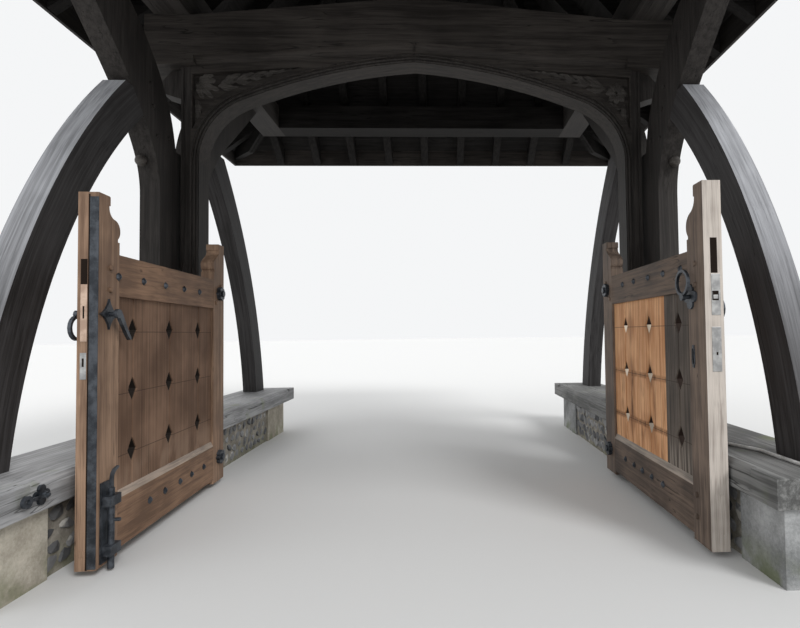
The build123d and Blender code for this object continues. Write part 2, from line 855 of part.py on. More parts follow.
def hold_back_hook():
    """Bar that turns on the stud, its free end curled."""
    x = sill_in - hook_stand_off
    half = hook_stud_radius
    h = hook_bar_half
    boss = across_disc(x - half, x + half, hook_y, hook_height, hook_stud_radius * 2)
    bar = block(x - h, x + h, hook_y - hook_length + hook_curl_radius, hook_y, hook_height - h, hook_height + h)
    curl = iron_ring(x, hook_y - hook_length, hook_height, hook_curl_radius)
    bore = across_disc(x - half - 1, x + half + 1, hook_y, hook_height, hook_stud_radius + hook_clearance)
    return boss + bar + curl - bore


def stay_rod():
    """Bent steel rod that lies along the top of the right sill."""
    path = FilletPolyline(*[(side_in - a, y, sill_top + rod_radius) for a, y in rod_points], radius=rod_bend)
    return sweep(Plane(path @ 0, z_dir=path % 0) * RegularPolygon(rod_radius, rod_sides), path=path)


walls()
add_pair("sill", sill())
add_pair("post", post())
add_pair("arch_brace", arch_brace())
nodes["tie_beam"] = tie_beam()
add_pair("side_post", side_post())
add_pair("front_brace", front_brace())
add_pair("rear_brace", other_end(front_brace()))
add_pair("front_strut", front_strut())
add_pair("rear_strut", other_end(front_strut()))
roof()
gate_leaves()
nodes["left_hook_plate"] = other_side(hold_back_plate())
nodes["left_hook"] = other_side(hold_back_hook())
nodes["right_stay_rod"] = stay_rod()

for name, shape in nodes.items():
    export_step(shape, "parts/" + name + ".step")
print(len(nodes), "nodes written")
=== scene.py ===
import math
import random

import bmesh
import bpy
from mathutils import Matrix, Vector, noise


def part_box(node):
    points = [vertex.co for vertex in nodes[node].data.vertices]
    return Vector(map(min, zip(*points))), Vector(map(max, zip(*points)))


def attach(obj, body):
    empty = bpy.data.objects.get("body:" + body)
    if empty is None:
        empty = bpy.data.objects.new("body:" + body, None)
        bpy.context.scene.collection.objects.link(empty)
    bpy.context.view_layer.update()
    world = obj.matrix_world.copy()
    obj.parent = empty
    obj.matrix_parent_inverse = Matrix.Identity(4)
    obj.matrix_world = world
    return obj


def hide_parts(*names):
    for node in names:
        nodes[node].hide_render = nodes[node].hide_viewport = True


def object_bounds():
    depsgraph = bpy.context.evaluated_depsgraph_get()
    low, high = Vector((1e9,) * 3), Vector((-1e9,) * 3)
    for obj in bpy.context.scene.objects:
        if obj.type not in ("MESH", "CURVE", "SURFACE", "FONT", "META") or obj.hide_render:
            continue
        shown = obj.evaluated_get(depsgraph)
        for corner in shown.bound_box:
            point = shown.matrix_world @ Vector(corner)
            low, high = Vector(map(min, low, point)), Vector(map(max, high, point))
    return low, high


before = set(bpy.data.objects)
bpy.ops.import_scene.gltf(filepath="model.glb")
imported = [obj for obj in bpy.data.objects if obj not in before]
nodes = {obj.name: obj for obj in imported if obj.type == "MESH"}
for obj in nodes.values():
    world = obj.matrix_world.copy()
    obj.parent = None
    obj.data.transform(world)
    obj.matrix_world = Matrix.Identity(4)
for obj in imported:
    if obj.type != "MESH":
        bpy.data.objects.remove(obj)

cadLow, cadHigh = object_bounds()
print("frame loaded")


def millimetres(verts):
    return [(x / 1000, y / 1000, z / 1000) for x, y, z in verts]


# Shader maths on sockets
def mathMethod(kind):
    def method(self, other):
        return self.op(kind, other)
    return method


class Sock:
    def __init__(self, shader, socket):
        self.shader, self.socket = shader, socket

    def op(self, kind, *others, clamp=False):
        node = self.shader.node("ShaderNodeMath", {"operation": kind, "use_clamp": clamp},
                                dict(enumerate((self,) + others)))
        return node.out(0)

    __add__ = __radd__ = mathMethod("ADD")
    __mul__ = __rmul__ = mathMethod("MULTIPLY")
    __sub__ = mathMethod("SUBTRACT")
    __pow__ = mathMethod("POWER")
    __gt__ = mathMethod("GREATER_THAN")

    def __rsub__(self, other):
        return self.shader.value(other).op("SUBTRACT", self)

    def __abs__(self):
        return self.op("ABSOLUTE")

    def clamped(self):
        return self.op("ADD", 0.0, clamp=True)

    def ramp(self, low, high, start=0.0, end=1.0):
        node = self.shader.node("ShaderNodeMapRange", {"clamp": True, "interpolation_type": "SMOOTHSTEP"},
                                {0: self, 1: low, 2: high, 3: start, 4: end})
        return node.out(0)


class Node:
    def __init__(self, shader, node):
        self.shader, self.raw = shader, node

    def out(self, key):
        return Sock(self.shader, self.raw.outputs[key])


class Shader:
    def __init__(self, name):
        self.material = bpy.data.materials.new(name)
        self.material.use_nodes = True
        self.tree = self.material.node_tree
        self.tree.nodes.clear()

    def node(self, kind, settings=None, inputs=None):
        raw = self.tree.nodes.new(kind)
        for key, value in (settings or {}).items():
            setattr(raw, key, value)
        for key, value in (inputs or {}).items():
            if isinstance(value, Sock):
                self.tree.links.new(value.socket, raw.inputs[key])
            else:
                raw.inputs[key].default_value = value
        return Node(self, raw)

    def value(self, number):
        node = self.node("ShaderNodeValue")
        node.raw.outputs[0].default_value = number
        return node.out(0)

    def point(self):
        return self.node("ShaderNodeTexCoord").out("Object")

    def parts(self, vector):
        node = self.node("ShaderNodeSeparateXYZ", None, {0: vector})
        return [node.out(i) for i in range(3)]

    def join(self, x, y, z):
        return self.node("ShaderNodeCombineXYZ", None, {0: x, 1: y, 2: z}).out(0)

    def roundArc(self, vector, centre):
        x, y, z = self.parts(vector)
        dy, dz = abs(y) - centre[0], z - centre[1]
        out, along = (dy * dy + dz * dz) ** 0.5, dz.op("ARCTAN2", dy) * centre[2]    # follows a curved timber
        return self.join(x, out, along)

    def scaled(self, vector, scale):
        return self.node("ShaderNodeVectorMath", {"operation": "MULTIPLY"}, {0: vector, 1: scale}).out(0)

    def moved(self, vector, offset):
        return self.node("ShaderNodeVectorMath", {"operation": "ADD"}, {0: vector, 1: offset}).out(0)

    def noise(self, vector, scale, detail=4.0, rough=0.55, out=0):
        inputs = {"Vector": vector, "Scale": scale, "Detail": detail, "Roughness": rough}
        return self.node("ShaderNodeTexNoise", None, inputs).out(out)

    def cells(self, vector, scale):
        return self.node("ShaderNodeTexVoronoi", None, {"Vector": vector, "Scale": scale}).out("Distance")

    def mix(self, factor, a, b):
        inputs = {0: factor, 6: self.colour(a), 7: self.colour(b)}
        return self.node("ShaderNodeMix", {"data_type": "RGBA"}, inputs).out(2)

    def colour(self, c):
        return c if isinstance(c, Sock) else (*c[:3], 1.0)

    def bump(self, height, strength, distance):
        return self.node("ShaderNodeBump", None,
                         {"Strength": strength, "Distance": distance, "Height": height}).out(0)

    def finish(self, colour, rough, normal=None, metallic=0.0, specular=0.35):
        inputs = {"Base Color": self.colour(colour), "Roughness": rough, "Metallic": metallic,
                  "Specular IOR Level": specular}
        if normal is not None:
            inputs["Normal"] = normal
        surface = self.node("ShaderNodeBsdfPrincipled", None, inputs)
        self.node("ShaderNodeOutputMaterial", None, {0: surface.out(0)})
        return self.material


# Materials
leaves = {"toe": -1444, "turn": 2.3, "pivot": (-1295.5, -152), "freshFrom": -1034}


def wood(name, axis, dark, light, look):
    s = Shader(name)
    p = s.point()
    along = [look["across"]] * 3
    along[axis] = look["along"]
    wander = s.noise(p, 1.6, 2.0, out=1)
    run = s.roundArc(p, look["centre"]) if look.get("centre") else p
    q = s.moved(s.scaled(run, along), s.scaled(wander, (look["wander"],) * 3))
    streak = s.noise(q, 1.0, 6.0, 0.62)
    fine = s.noise(s.scaled(q, (3.1, 3.1, 3.1)), 1.0, 3.0, 0.6)
    patch = s.noise(p, look["patch"], 3.0)
    tone = (streak * 0.75 + fine * 0.35 - 0.05 + (patch - 0.5) * look["patchy"]).clamped()
    colour = s.mix(tone.ramp(0.3, 0.72), dark, light)
    crack = s.noise(s.scaled(q, (0.55, 0.55, 0.4)), 1.0, 2.0, 0.5)
    gap = abs(crack - 0.5).ramp(0.0, look["crack"], 1.0, 0.0) * patch.ramp(0.48, 0.6)
    colour = s.mix(gap * 0.8, colour, [c * 0.3 for c in dark])
    # up-facing faces made lighter: partly silvered weathering, partly painted sunlight on the tops
    if look.get("topLight"):
        up = s.parts(s.node("ShaderNodeNewGeometry").out("Normal"))[2]
        silverAndSunlitTop = s.mix(tone.ramp(0.25, 0.7), [c * 0.4 for c in look["topLight"]], look["topLight"])
        colour = s.mix(up.ramp(0.15, 0.6) * 0.9, colour, silverAndSunlitTop)
    if look.get("sunlitToe"):
        # painted sunlight: the toe end of the leaf is made pale
        end = leaves["toe"] / 1000
        toe = s.parts(p)[1].ramp(end + 0.0025, end + 0.0010)
        colour = s.mix(toe * 0.75, colour, s.mix(tone.ramp(0.2, 0.6), (0.20, 0.165, 0.14), look["sunlitToe"]))
    if look.get("green"):
        moss = s.noise(p, 7.0, 5.0).ramp(0.52, 0.7) * s.noise(p, 1.3, 2.0).ramp(0.45, 0.65)
        colour = s.mix(moss * look["green"], colour, (0.16, 0.20, 0.05))
    normal = s.bump(streak * 0.7 + fine * 0.3 - gap * 0.9, look["bump"], 0.004)
    return s.finish(colour, tone.ramp(0.2, 0.9, 0.62, 0.86), normal, specular=look["specular"])


darkLook = {"across": 42.0, "along": 1.6, "wander": 1.6, "patch": 2.2, "patchy": 0.5, "crack": 0.012,
            "bump": 0.55, "specular": 0.22}
roofLook = {**darkLook, "specular": 0.1}
strutLook = {**darkLook, "centre": (-1.62, 0.05, 2.9), "across": 60.0, "patchy": 0.35,
             "topLight": (0.50, 0.51, 0.54)}
sillLook = {**darkLook, "bump": 0.7, "green": 0.5, "patchy": 0.6}
gateLook = {"across": 55.0, "along": 2.2, "wander": 1.2, "patch": 3.0, "patchy": 0.7, "crack": 0.010,
            "bump": 0.4, "specular": 0.25}
# leaf stiles whose toe end gets painted sunlight
sunlitToeLook = {**gateLook, "sunlitToe": (0.58, 0.53, 0.48)}
railLook = {**gateLook, "topLight": (0.46, 0.40, 0.34)}
darkOak, darkOakLight = (0.013, 0.011, 0.010), (0.046, 0.041, 0.038)
# the roof timbers are a darker copy of the dark oak: painted shade under the roof
roofOak, roofOakLight = (0.007, 0.0065, 0.006), (0.024, 0.022, 0.021)
oak = {
    "post": wood("dark_oak_post", 2, darkOak, darkOakLight, darkLook),
    "beam": wood("dark_oak_beam", 0, (0.016, 0.0135, 0.012), (0.054, 0.047, 0.042), darkLook),
    "plate": wood("dark_oak_plate", 1, darkOak, darkOakLight, darkLook),
    "roofAcross": wood("roof_oak_across", 0, roofOak, roofOakLight, roofLook),
    "roofAlong": wood("roof_oak_along", 1, roofOak, roofOakLight, roofLook),
    # a lighter copy of the beam oak: painted highlight that makes the carved leaves stand out; the bolt heads
    # use it too
    "carved": wood("dark_oak_carved", 0, (0.034, 0.030, 0.027), (0.105, 0.096, 0.088), darkLook),
    "strut": wood("strut_oak", 2, (0.017, 0.0155, 0.015), (0.058, 0.055, 0.056), strutLook),
    "leftSill": wood("sill_oak", 1, (0.15, 0.15, 0.152), (0.37, 0.373, 0.38), sillLook),
    # the right sill is a darker copy of the left sill's oak: painted shade
    "rightSill": wood("sill_oak_shaded", 1, (0.07, 0.07, 0.068), (0.235, 0.235, 0.23), sillLook),
    "leftStile": wood("gate_oak_stile", 2, (0.125, 0.075, 0.048), (0.30, 0.195, 0.130), gateLook),
    "leftRail": wood("gate_oak_rail", 1, (0.110, 0.063, 0.038), (0.255, 0.155, 0.098), railLook),
    "rightStile": wood("grey_oak_stile", 2, (0.060, 0.042, 0.032), (0.20, 0.148, 0.115), sunlitToeLook),
    "rightRail": wood("grey_oak_rail", 1, (0.045, 0.032, 0.025), (0.155, 0.112, 0.085), railLook),
}

# Pierced boards: rows and columns of holes, and joints between the boards
panels = {"rows": (0.412, 0.665, 0.922), "columns": (-0.589, -0.843, -1.096),
          "between": (-0.716, -0.970, -1.034), "face": 1.217, "rowJoint": 0.0016, "boardJoint": 0.0012}


def lines(axis, places, half):
    total = 0.0
    for place in places:
        total = abs(axis - place).ramp(half * 0.5, half * 1.5, 1.0, 0.0) + total
    return total.clamped()


def panelMarks(s, x, y, z):
    depth = abs(x) - panels["face"]
    inside = depth.ramp(0.004, 0.009) * depth.ramp(0.032, 0.037, 1.0, 0.0)    # sides of the holes, where shade and sunlight are painted
    upright = lines(y, panels["columns"] + panels["between"], panels["boardJoint"])
    joints = (lines(z, panels["rows"], panels["rowJoint"]) + upright).clamped()
    near = 0.0    # stain round the holes
    for row in panels["rows"]:
        for column in panels["columns"]:
            across, rise = abs(y - column), abs(z - row)
            near = (across * 1.6 + rise).ramp(0.05, 0.14, 1.0, 0.0) + near
    return inside, joints, near.clamped()


def oldBoards():
    s = Shader("gate_oak_boards")
    p = s.point()
    x, y, z = s.parts(p)
    turn = math.radians(leaves["turn"])
    pivotX, pivotY = millimetres([(*leaves["pivot"], 0)])[0][:2]
    dx, dy = x - pivotX, y - pivotY
    across = dx * math.cos(turn) + dy * math.sin(turn) + pivotX
    along = dy * math.cos(turn) - dx * math.sin(turn) + pivotY
    inside, joints, near = panelMarks(s, across, along, z)
    grain = s.noise(s.scaled(p, (70.0, 70.0, 2.0)), 1.0, 6.0, 0.6)
    patch = s.noise(p, 3.2, 3.0)
    tone = (grain * 0.5 + patch * 0.7 - 0.1).clamped()
    colour = s.mix(tone.ramp(0.3, 0.72), (0.085, 0.048, 0.030), (0.20, 0.122, 0.080))
    rise = s.noise(s.scaled(p, (9.0, 9.0, 4.0)), 1.0, 3.0)
    colour = s.mix(near * rise.ramp(0.35, 0.7) * 0.45, colour, (0.060, 0.030, 0.018))
    # painted sunlight: patches towards the foot of the boards are lightened
    foot = z.ramp(0.50, 0.30) * rise.ramp(0.4, 0.6)
    colour = s.mix(foot * 0.35, colour, (0.30, 0.21, 0.15))
    colour = s.mix(joints * 0.7, colour, (0.030, 0.016, 0.010))
    # painted shade: the sides of the holes are made near black
    colour = s.mix(inside, colour, (0.010, 0.007, 0.005))
    return s.finish(colour, 0.8, s.bump(grain - joints, 0.35, 0.003), specular=0.2)


def newBoards():
    s = Shader("new_oak_boards")
    p = s.point()
    x, y, z = s.parts(p)
    inside, joints, near = panelMarks(s, x, y, z)
    freshSide = y > leaves["freshFrom"] / 1000
    grain = s.noise(s.scaled(p, (60.0, 60.0, 2.4)), 1.0, 5.0, 0.6)
    patch = s.noise(p, 4.0, 3.0)
    tone = (grain * 0.8 + patch * 0.4 - 0.1).clamped()
    fresh = s.mix(tone.ramp(0.35, 0.7), (0.42, 0.19, 0.078), (0.70, 0.405, 0.215))
    stain = s.noise(s.scaled(p, (14.0, 14.0, 3.5)), 1.0, 4.0).ramp(0.5, 0.68) * z.ramp(0.80, 0.45)
    wet = (lines(z, panels["rows"], 0.014) * z.ramp(0.95, 0.5) + near * 0.7).clamped()
    fresh = s.mix((stain * 0.75 + wet * grain.ramp(0.3, 0.6) * 0.8).clamped(), fresh, (0.15, 0.058, 0.020))
    old = s.mix(tone.ramp(0.35, 0.75), (0.045, 0.036, 0.030), (0.13, 0.105, 0.085))
    old = s.mix(z.ramp(0.44, 0.30) * grain.ramp(0.4, 0.6) * 0.6, old, (0.30, 0.26, 0.22))
    colour = s.mix(freshSide, old, fresh)
    colour = s.mix(joints * 0.75, colour, (0.030, 0.016, 0.010))
    # hole sides: painted shade on the downward faces, painted sunlight on the upward faces, brighter higher
    # up
    rising = s.parts(s.node("ShaderNodeNewGeometry").out("Normal"))[2].ramp(-0.1, 0.1)
    sunlitHoleSills = rising * freshSide * z.ramp(0.3, 0.9, 0.45, 1.0)
    cut = s.mix(sunlitHoleSills, (0.022, 0.012, 0.008), (0.72, 0.63, 0.51))
    colour = s.mix(inside, colour, cut)
    return s.finish(colour, 0.75, s.bump(grain, 0.4, 0.003), specular=0.25)


def iron(name, dark, light, rough, metal=0.6):
    s = Shader(name)
    p = s.point()
    blot = s.noise(p, 22.0, 5.0, 0.65)
    pit = s.noise(p, 160.0, 3.0)
    colour = s.mix(blot.ramp(0.35, 0.7), dark, light)
    return s.finish(colour, blot.ramp(0.3, 0.8, rough, rough + 0.2), s.bump(blot + pit * 0.5, 0.35, 0.002),
                    metallic=metal, specular=0.5)


def stone(name, dark, light, scale, green):
    s = Shader(name)
    p = s.point()
    cloud = s.noise(p, scale, 6.0, 0.6)
    grit = s.noise(p, 90.0, 4.0, 0.7)
    colour = s.mix((cloud * 0.8 + grit * 0.3).ramp(0.35, 0.8), dark, light)
    low = s.parts(p)[2].ramp(0.16, 0.0)
    colour = s.mix(low * green * s.noise(p, 6.0, 4.0).ramp(0.4, 0.6), colour, (0.11, 0.13, 0.05))
    return s.finish(colour, 0.9, s.bump(cloud * 0.6 + grit * 0.5, 0.6, 0.006), specular=0.2)


def flint():
    s = Shader("knapped_flint")
    p = s.point()
    r = s.node("ShaderNodeAttribute", {"attribute_name": "tone"}).out("Fac")
    blot = s.noise(p, 26.0, 4.0)
    colour = s.mix((r * 0.9 + blot * 0.4 - 0.2).clamped(), (0.022, 0.024, 0.028), (0.25, 0.25, 0.25))
    rind = s.noise(p, 9.0, 3.0).ramp(0.55, 0.62) * (r > 0.6)
    colour = s.mix(rind * 0.8, colour, (0.50, 0.48, 0.43))
    return s.finish(colour, 0.45, s.bump(blot, 0.4, 0.004), specular=0.5)


def tile():
    s = Shader("clay_tile")
    p = s.point()
    r = s.node("ShaderNodeAttribute", {"attribute_name": "tone"}).out("Fac")
    blot = s.noise(p, 7.0, 5.0, 0.6)
    grit = s.noise(p, 120.0, 3.0)
    colour = s.mix((r * 0.75 + blot * 0.5 - 0.1).clamped(), (0.105, 0.040, 0.025), (0.265, 0.108, 0.060))
    soot = s.noise(p, 1.7, 3.0).ramp(0.45, 0.7) * (1.0 - r * 0.5)
    colour = s.mix(soot * 0.5, colour, (0.055, 0.040, 0.030))
    lichen = s.cells(p, 60.0).ramp(0.30, 0.12) * s.noise(p, 11.0, 3.0).ramp(0.56, 0.66)
    colour = s.mix(lichen * 0.7, colour, (0.36, 0.34, 0.22))
    return s.finish(colour, 0.85, s.bump(grit * 0.5 + blot, 0.4, 0.003), specular=0.25)


blackIron = iron("black_iron", (0.018, 0.022, 0.028), (0.085, 0.095, 0.11), 0.42)
roughIron = iron("rough_iron", (0.022, 0.026, 0.032), (0.085, 0.094, 0.108), 0.6)
brass = iron("brass", (0.34, 0.235, 0.175), (0.56, 0.42, 0.33), 0.6, 0.3)
# near-black sheets: painted shade in the slots of the lock plates and painted shadow beside the meeting strip
shadeSheet = Shader("painted_shade").finish((0.012, 0.008, 0.006), 0.95, specular=0.1)
steelPlate = iron("steel_plate", (0.25, 0.25, 0.25), (0.45, 0.45, 0.44), 0.35)
steelRod = iron("steel_rod", (0.40, 0.40, 0.39), (0.66, 0.66, 0.65), 0.4, 0.2)
pierStone = {"left_": stone("pier_stone", (0.25, 0.225, 0.18), (0.58, 0.54, 0.46), 5.0, 0.7),
             "right_": stone("pier_stone_grey", (0.13, 0.135, 0.135), (0.40, 0.405, 0.405), 4.0, 0.7)}
mortar = stone("mortar", (0.15, 0.135, 0.112), (0.36, 0.335, 0.29), 14.0, 0.4)
flintSkin = flint()
clayTile = tile()
print("materials made")


def dress(name, material):
    slots = nodes[name].data.materials
    slots.clear()
    slots.append(material)


for side in ("left_", "right_"):
    for name in ("post", "side_post", "front_brace", "rear_brace"):
        dress(side + name, oak["post"])
    dress(side + "arch_brace", oak["beam"])
    for name in ("front_strut", "rear_strut"):
        dress(side + name, oak["strut"])
    dress(side + "wall_plate", oak["plate"])
    dress(side + "rafters", oak["roofAcross"])
    own = side[:-1]
    dress(side + "sill", oak[own + "Sill"])
    for name in ("hinge_stile", "meeting_stile"):
        dress(side + name, oak[own + "Stile"])
    for name in ("top_rail", "bottom_rail"):
        dress(side + name, oak[own + "Rail"])
    for name in ("hinge_irons", "latch_plate", "latch_handle", "pintles"):
        dress(side + name, blackIron)
    dress(side + "stone_piers", pierStone[side])
    dress(side + "flint_wall", mortar)
dress("left_boards", oldBoards())
dress("right_boards", newBoards())
for name in ("left_drop_bolt", "left_bolt_keeps", "left_hook_plate", "left_hook"):
    dress(name, blackIron)
dress("right_stay_rod", steelRod)
dress("tie_beam", oak["beam"])
for name in ("front_plate", "rear_plate"):
    dress(name, oak["roofAcross"])
for name in ("front_rafters", "rear_rafters", "hip_rafters", "ridge_board"):
    dress(name, oak["roofAlong"])


worn = {"beam": 4, "frame": 6, "gate": 3.5, "stone": 12}
framePieces = ("side_post", "sill", "wall_plate", "front_strut", "rear_strut", "front_brace", "rear_brace")
gatePieces = ("hinge_stile", "meeting_stile", "top_rail", "bottom_rail")


def bevel(obj, width, limited=True):
    cut = obj.modifiers.new("worn edges", "BEVEL")
    cut.width = width / 1000
    cut.segments = 2
    if limited:
        cut.limit_method = "ANGLE"
        cut.angle_limit = math.radians(40)


for name in ("tie_beam", "front_plate", "rear_plate", "ridge_board"):
    bevel(nodes[name], worn["beam"])
for side in ("left_", "right_"):
    for name in framePieces:
        bevel(nodes[side + name], worn["frame"])
    for name in gatePieces:
        bevel(nodes[side + name], worn["gate"])
    bevel(nodes[side + "stone_piers"], worn["stone"])
print("frame dressed")


# Meshes of single pieces
leftPivot = Matrix.Translation(millimetres([(*leaves["pivot"], 0)])[0])
leftTurn = leftPivot @ Matrix.Rotation(math.radians(leaves["turn"]), 4, "Z") @ leftPivot.inverted()


def placeOn(mesh, body):
    if body == "left_gate":
        mesh.transform(leftTurn)    # the left leaf stands short of square


def finishedMesh(name, verts, faces, smooth):
    mesh = bpy.data.meshes.new(name)
    mesh.from_pydata([tuple(v) for v in verts], [], faces)
    work = bmesh.new()
    work.from_mesh(mesh)
    bmesh.ops.remove_doubles(work, verts=work.verts, dist=1e-6)
    bmesh.ops.recalc_face_normals(work, faces=work.faces)
    work.to_mesh(mesh)
    work.free()
    if smooth:
        mesh.shade_smooth()
    else:
        mesh.shade_flat()
    return mesh


def meshPiece(name, verts, faces, material, body, smooth=False):
    mesh = finishedMesh(name, verts, faces, smooth)
    placeOn(mesh, body)
    mesh.materials.append(material)
    obj = bpy.data.objects.new(name, mesh)
    bpy.context.scene.collection.objects.link(obj)
    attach(obj, body)
    return obj


# Copies of one shape on many points, by geometry nodes
def copiesGroup():
    group = bpy.data.node_groups.new("copies on points", "GeometryNodeTree")
    face = group.interface
    face.new_socket("Points", in_out="INPUT", socket_type="NodeSocketGeometry")
    face.new_socket("Shape", in_out="INPUT", socket_type="NodeSocketObject")
    face.new_socket("Material", in_out="INPUT", socket_type="NodeSocketMaterial")
    face.new_socket("Copies", in_out="OUTPUT", socket_type="NodeSocketGeometry")

    def named(name):
        node = group.nodes.new("GeometryNodeInputNamedAttribute")
        node.data_type = "FLOAT_VECTOR"
        node.inputs["Name"].default_value = name
        return node.outputs["Attribute"]

    start, end, shape, place, turn, real, paint = [group.nodes.new(kind) for kind in (
        "NodeGroupInput", "NodeGroupOutput", "GeometryNodeObjectInfo", "GeometryNodeInstanceOnPoints",
        "FunctionNodeEulerToRotation", "GeometryNodeRealizeInstances", "GeometryNodeSetMaterial")]
    for a, b in ((start.outputs["Points"], place.inputs["Points"]),
                 (start.outputs["Shape"], shape.inputs["Object"]),
                 (shape.outputs["Geometry"], place.inputs["Instance"]),
                 (named("turn"), turn.inputs[0]), (turn.outputs[0], place.inputs["Rotation"]),
                 (named("size"), place.inputs["Scale"]),
                 (place.outputs[0], real.inputs[0]), (real.outputs[0], paint.inputs["Geometry"]),
                 (start.outputs["Material"], paint.inputs["Material"]),
                 (paint.outputs[0], end.inputs[0])):
        group.links.new(a, b)
    return group


copies = copiesGroup()


def scatter(name, shape, points, material, body):
    mesh = bpy.data.meshes.new(name + "_points")
    mesh.from_pydata([tuple(p[0]) for p in points], [], [])
    for key, place in (("turn", 1), ("size", 2)):
        layer = mesh.attributes.new(key, "FLOAT_VECTOR", "POINT")
        layer.data.foreach_set("vector", [v for p in points for v in p[place]])
    layer = mesh.attributes.new("tone", "FLOAT", "POINT")
    layer.data.foreach_set("value", [p[3] for p in points])
    obj = bpy.data.objects.new(name, mesh)
    bpy.context.scene.collection.objects.link(obj)
    spread = obj.modifiers.new("copies", "NODES")
    spread.node_group = copies
    sockets = {item.name: item.identifier for item in copies.interface.items_tree if item.in_out == "INPUT"}
    spread[sockets["Shape"]] = shape
    spread[sockets["Material"]] = material
    bpy.context.view_layer.update()
    done = bpy.data.meshes.new_from_object(obj.evaluated_get(bpy.context.evaluated_depsgraph_get()))
    obj.modifiers.remove(spread)
    placeOn(done, body)
    obj.data = done
    done.name = name
    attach(obj, body)
    return obj


def axesTurn(xAxis, yAxis, zAxis):
    return tuple(Matrix((xAxis, yAxis, zAxis)).transposed().to_euler())


def facing(normal):
    n = Vector(normal).normalized()
    side = Vector((0, 0, 1)).cross(n) if abs(n.z) < 0.9 else Vector((1, 0, 0))
    side.normalize()
    return axesTurn(side, n.cross(side), n)


# Shapes that are copied
def shapeObject(name, verts, faces, smooth=False):
    obj = bpy.data.objects.new(name, finishedMesh(name, verts, faces, smooth))
    bpy.context.scene.collection.objects.link(obj)
    return obj


def boxFaces(base=0):
    corners = (0, 1, 3, 2), (4, 6, 7, 5), (0, 4, 5, 1), (2, 3, 7, 6), (0, 2, 6, 4), (1, 5, 7, 3)
    return [tuple(base + i for i in face) for face in corners]


def boxVerts(low, high):
    return [(x, y, z) for x in (low[0], high[0]) for y in (low[1], high[1]) for z in (low[2], high[2])]


def tileShape():
    verts, faces = [], []
    rows = (-0.5, -0.2, 0.15, 0.5)
    for y in rows:
        arch = 0.55 * (1 - (2 * y) ** 2)
        for x in (-0.5, 0.5):
            for z in (-0.5, 0.5):
                verts.append((x, y, z + arch))
    for k in range(3):
        sides = (0, 4, 5, 1), (2, 3, 7, 6), (0, 2, 6, 4), (1, 5, 7, 3)
        faces += [tuple(4 * k + i for i in side) for side in sides]
    faces += [(0, 1, 3, 2), (12, 14, 15, 13)]
    return shapeObject("tile", verts, faces)


def spun(name, profile, sides, smooth):
    verts, faces = [], []
    for r, z in profile:
        for k in range(sides):
            t = (k + 0.5) / sides * math.tau
            verts.append((r * math.cos(t), r * math.sin(t), z))
    for row in range(len(profile) - 1):
        for k in range(sides):
            n = (k + 1) % sides
            a = row * sides
            faces.append((a + k, a + n, a + sides + n, a + sides + k))
    faces.append(tuple(range(sides)))
    faces.append(tuple((len(profile) - 1) * sides + k for k in range(sides)))
    return shapeObject(name, verts, faces, smooth)


def flintShape():
    work = bmesh.new()
    bmesh.ops.create_icosphere(work, subdivisions=2, radius=0.5)
    for v in work.verts:
        v.co *= 1 + 0.4 * noise.noise(v.co * 2.3 + Vector((3.1, 0, 0)))
    mesh = bpy.data.meshes.new("flint")
    work.to_mesh(mesh)
    work.free()
    mesh.shade_flat()
    obj = bpy.data.objects.new("flint", mesh)
    bpy.context.scene.collection.objects.link(obj)
    return obj


def halfPipe(name, sides, thick):
    verts, faces = [], []
    for end in (-0.5, 0.5):
        wide = 1.0 if end < 0 else 0.86
        for r in (wide, wide - thick):
            for k in range(sides + 1):
                a = math.pi * k / sides
                verts.append((r * math.cos(a), end, r * math.sin(a)))
    n = sides + 1
    for k in range(sides):
        faces += [(k, k + 1, 2 * n + k + 1, 2 * n + k), (n + k, 3 * n + k, 3 * n + k + 1, n + k + 1),
                  (k, n + k, n + k + 1, k + 1), (2 * n + k, 2 * n + k + 1, 3 * n + k + 1, 3 * n + k)]
    faces += [(0, 2 * n, 3 * n, n), (sides, n + sides, 3 * n + sides, 2 * n + sides)]
    return shapeObject(name, verts, faces)


shapes = {
    "tile": tileShape(),
    "pipe": halfPipe("pipe", 8, 0.16),
    "flint": flintShape(),
    "stud": spun("stud", [(1.0, -0.2), (1.0, 0.1), (0.72, 0.5), (0.22, 0.85)], 6, False),
    "peg": spun("peg", [(1.0, -0.5), (1.0, 0.55), (0.86, 0.85), (0.45, 1.0)], 9, False),
    "dome": spun("dome", [(1.0, -0.2), (1.0, 0.05), (0.9, 0.35), (0.66, 0.62), (0.35, 0.78), (0.08, 0.83)],
                 16, True),
}


# Roof covering: plain tiles in courses, boards under them, hip tiles and half-round ridge tiles
roof = {"pitch": 47, "eavesPitch": 36, "bendPitch": 41, "bend": 1689, "covering": 75, "gauge": 100,
        "firstCourse": 82, "tileWidth": 165, "tileLength": 165, "tileThickness": 13, "tileGap": 3,
        "leastTile": 30, "tilt": 8, "boardThickness": 22, "boardsBack": 45, "eavesBoardBack": 4,
        "eavesBoardThickness": 20, "eavesBoardRise": 72, "eavesBoardDrop": 4, "hipRadius": 66,
        "hipLength": 240, "hipGauge": 150, "firstHip": 200, "ridgeRadius": 100, "seed": 7}
mainPitch, eavesPitch = math.radians(roof["pitch"]), math.radians(roof["eavesPitch"])
cover = roof["covering"] / 1000 / math.cos(mainPitch)
bendRun = roof["bend"] / 1000
halfX, halfY = cadHigh.x, cadHigh.y
ridgeHalf = halfY - halfX
peak = cadHigh.z - cover
bendHigh = peak - bendRun * math.tan(mainPitch)
eavesLow = bendHigh - (halfX - bendRun) * math.tan(eavesPitch)
eavesLength = (halfX - bendRun) / math.cos(eavesPitch)
slopeLength = eavesLength + bendRun / math.cos(mainPitch)
outward = {"right": Vector((1, 0, 0)), "left": Vector((-1, 0, 0)),
           "front": Vector((0, -1, 0)), "rear": Vector((0, 1, 0))}
